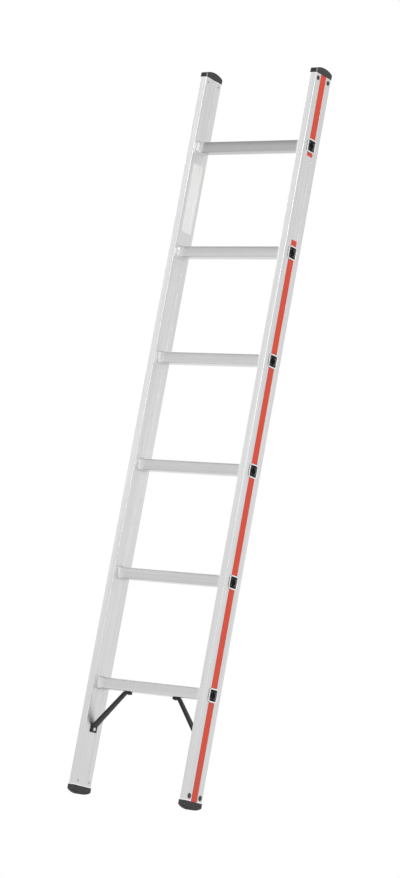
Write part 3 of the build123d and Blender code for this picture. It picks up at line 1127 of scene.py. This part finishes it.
@dataclass
class Ladder:
    """The whole ladder: finishes, and the pieces that stand for the CAD nodes."""

    stile_outer: float = STILE_OUTER
    cap_round: float = 1.4
    foot_round: float = 0.7
    foot_rivet: Rivet = Rivet(
        head_radius=6.8, head_height=2.0, shank_radius=2.5, grip=20.0, tail_radius=3.2, tail_height=0.8)
    cap_rivet_head: float = 6.0
    end_rivet_y: float = 22.0
    brace_round: float = 1.5
    brace_bore: float = 3.5
    stile_rivet: Rivet = Rivet(
        head_radius=4.5, head_height=1.4, shank_radius=2.4, grip=5.4, tail_radius=3.5, tail_height=2.4)
    rung_rivet_grip: float = 8.1

    def __post_init__(self) -> None:
        """Mixes the finishes."""
        # Extruded aluminium as it left the die: pale and satin, with soft upright bands, a painted highlight
        # at each end and painted shade towards the floor
        stile_ends = tuple(corner.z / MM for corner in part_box("stile_left"))
        self.stile_metal = PressedAluminium(
            "stile_mill_aluminium", pale="#EBEBEC", deep="#E2E2E3", along=Along.STILE, roughness=0.4,
            end_levels_mm=stile_ends).material()
        # The same metal, smoother: it mirrors more of the room, with a painted highlight at the bead ends,
        # and the top rung is a shade greyer: painted shade
        rung = PressedAluminium(
            "rung_mill_aluminium", pale="#D3D3D3", deep="#CACACA", roughness=0.2, roughness_swing=0.04,
            bead_highlight="#E4E4E4")
        self.rung_metal = rung.material()
        self.top_rung_shaded_metal = replace(
            rung, name="top_rung_shaded_aluminium", pale="#BEBEBE", deep="#B4B4B4").material()
        # Upset aluminium on the bead: painted pale as a painted highlight, dull, without the die's long lines
        self.bead_highlight_metal = PressedAluminium(
            "upset_bead_highlight_aluminium", pale="#EAEAEA", deep="#DEDEDE", roughness=0.42, band_mm=4.0,
            band_length_mm=8.0, line_mm=0.9, line_length_mm=2.0).material()
        # Rolled aluminium: the turned-over flange is painted nearly white, a painted highlight
        self.flange_highlight_metal = PressedAluminium(
            "rolled_flange_aluminium", pale="#F8F8F8", deep="#F0F0F0", band_mm=6.0, band_length_mm=6.0,
            line_mm=0.8, line_length_mm=0.8).material()
        # Painted shadow: a thin grey line in the seam behind the flange
        self.painted_seam_shadow = MouldedPlastic("painted_seam_shadow", "#6A6A6A", "#7C7C7C", roughness=0.7).material()
        # Bare aluminium: bright rivet heads, and tails dulled where they were set
        bare_rivet = PressedAluminium(
            "bare_rivet_aluminium", pale="#E6E6E6", deep="#D2D2D2", band_mm=3.0, band_length_mm=3.0,
            line_mm=0.5, line_length_mm=0.5)
        self.rivet_metal = bare_rivet.material()
        self.tail_metal = replace(
            bare_rivet, name="set_tail_aluminium", pale="#C4C4C4", deep="#B0B0B0", roughness=0.45).material()
        # Moulded polypropylene: grained broad faces, smooth ends in painted shade, corners in a painted
        # highlight
        cap = MouldedPlastic(
            "moulded_cap_plastic", "#333333", "#404040", roughness=0.5, grain_mm=0.9, grain_relief_mm=0.04,
            ior=1.42)
        self.cap_plastic = cap.material()
        self.cap_end_shaded_plastic = replace(
            cap, name="smooth_cap_shaded_plastic", colour="#282828", worn="#343434", roughness=0.36,
            grain_relief_mm=0.01, ior=1.34).material()
        self.cap_corner_highlight_plastic = replace(
            cap, name="painted_highlight_cap_plastic", colour="#8C8C8C", worn="#7A7A7A", roughness=0.4,
            ior=1.5).material()
        # Moulded rubber: dull black, worn in small cloudy patches
        self.foot_rubber = MouldedPlastic(
            "moulded_foot_rubber", "#303030", "#4D4D4D", roughness=0.66, grain_mm=1.2, grain_relief_mm=0.06,
            mottle_mm=5.0, wear_share=1.0, ior=1.42).material()
        # Moulded polyethylene: nearly black, with pale glints on the dish's shiny wall, partly a painted
        # highlight
        self.plug_plastic = MouldedPlastic(
            "moulded_plug_plastic", "#070708", "#0E0E0F", roughness=0.42, grain_mm=0.7, ior=1.16).material()
        self.shiny_plug_plastic = MouldedPlastic(
            "shiny_plug_plastic", "#0C0C0D", "#141415", roughness=0.24, grain_mm=0.7, grain_relief_mm=0.01,
            ior=1.3, wall_highlight="#868687").material()
        # Powder coat on steel: even and dark, with a fine grain
        self.brace_coat = MouldedPlastic(
            "powder_coated_brace", "#202021", "#2A2A2B", roughness=0.42, grain_mm=1.6, grain_relief_mm=0.05,
            ior=1.36).material()
        self.rivet_coat = MouldedPlastic("coated_rivet", "#303031", "#4C4C4D", roughness=0.4).material()
        # Adhesive film: a smooth red stripe, and a white label with a faint mottle
        self.stripe_film = StripeFilm().material()
        self.label_film = MouldedPlastic(
            "blank_label_film", "#F2F2F1", "#E9E9E7", roughness=0.4, grain_mm=6.0, mottle_mm=26.0).material()

    def dress_stiles(self) -> None:
        """Gives the stiles and their stripes their finishes."""
        for side in Side:
            dress_node(f"stile_{side.word}", self.stile_metal)
            dress_node(f"side_stripe_{side.word}", self.stripe_film)

    def build_rungs(self) -> None:
        """Builds the rungs and their plugs."""
        tube = SquareTube()
        worked_ends = (self.bead_highlight_metal, self.flange_highlight_metal, self.painted_seam_shadow)
        plug_finishes = (self.plug_plastic, self.shiny_plug_plastic)
        for number in RUNG_NUMBERS:
            metal = self.top_rung_shaded_metal if number == RUNG_NUMBERS[-1] else self.rung_metal
            Rung(number, (metal, *worked_ends), tube).build()
            for side in Side:
                RungPlug(side, number, plug_finishes, tube).build()

    def build_ends(self) -> None:
        """Builds the caps and feet with their rivets."""
        cap_finishes = (self.cap_plastic, self.cap_end_shaded_plastic, self.cap_corner_highlight_plastic)
        rivet_finishes = (self.rivet_coat, self.tail_metal)
        cap_rivet = replace(self.foot_rivet, head_radius=self.cap_rivet_head)
        for side in Side:
            SoftenedCap(f"top_cap_{side.word}", cap_finishes, "cap_plastic", self.cap_round).build()
            SoftenedNode(f"foot_{side.word}", (self.foot_rubber,), "foot_rubber", self.foot_round).build()
            for end, rivet in (("foot", self.foot_rivet), ("top_cap", cap_rivet)):
                node = f"{end}_rivets_{side.word}"
                height = middle_of(node).z / MM
                seats = [
                    facing(side.value * self.stile_outer, y, height, (side.value, 0, 0))
                    for y in (-self.end_rivet_y, self.end_rivet_y)
                ]
                RivetSet(node, seats, rivet, rivet_finishes, "end_rivet").build()

    def build_braces(self) -> None:
        """Builds the braces with their rivets."""
        head = self.stile_rivet.head_height
        rung_rivet = replace(self.stile_rivet, grip=self.rung_rivet_grip)
        bright = (self.rivet_metal, self.tail_metal)
        dark = (self.rivet_coat, self.tail_metal)
        for side in Side:
            SoftenedNode(
                f"brace_{side.word}", (self.brace_coat,), "brace_paint", self.brace_round,
                bore_reach=self.brace_bore).build()
            node = f"brace_stile_rivet_{side.word}"
            low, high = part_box(node)
            crown_x = low.x if side is Side.RIGHT else high.x
            seat = facing(crown_x / MM + side.value * head, 0, middle_of(node).z / MM, (-side.value, 0, 0))
            RivetSet(node, [seat], self.stile_rivet, bright, "bright_rivet").build()
            node = f"brace_rung_rivet_{side.word}"
            crown_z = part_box(node)[0].z
            seat = facing(middle_of(node).x / MM, 0, crown_z / MM + head, (0, 0, -1))
            RivetSet(node, [seat], rung_rivet, dark, "dark_rivet").build()

    def build(self) -> None:
        """Builds and dresses everything."""
        self.dress_stiles()
        self.build_rungs()
        self.build_ends()
        self.build_braces()
        BlankLabel(self.label_film).build()


def main() -> None:
    """Builds the studio and the ladder."""
    logging.basicConfig(level=logging.INFO, format="%(message)s")
    Studio().build()
    Ladder().build()


if __name__ == "__main__":
    main()
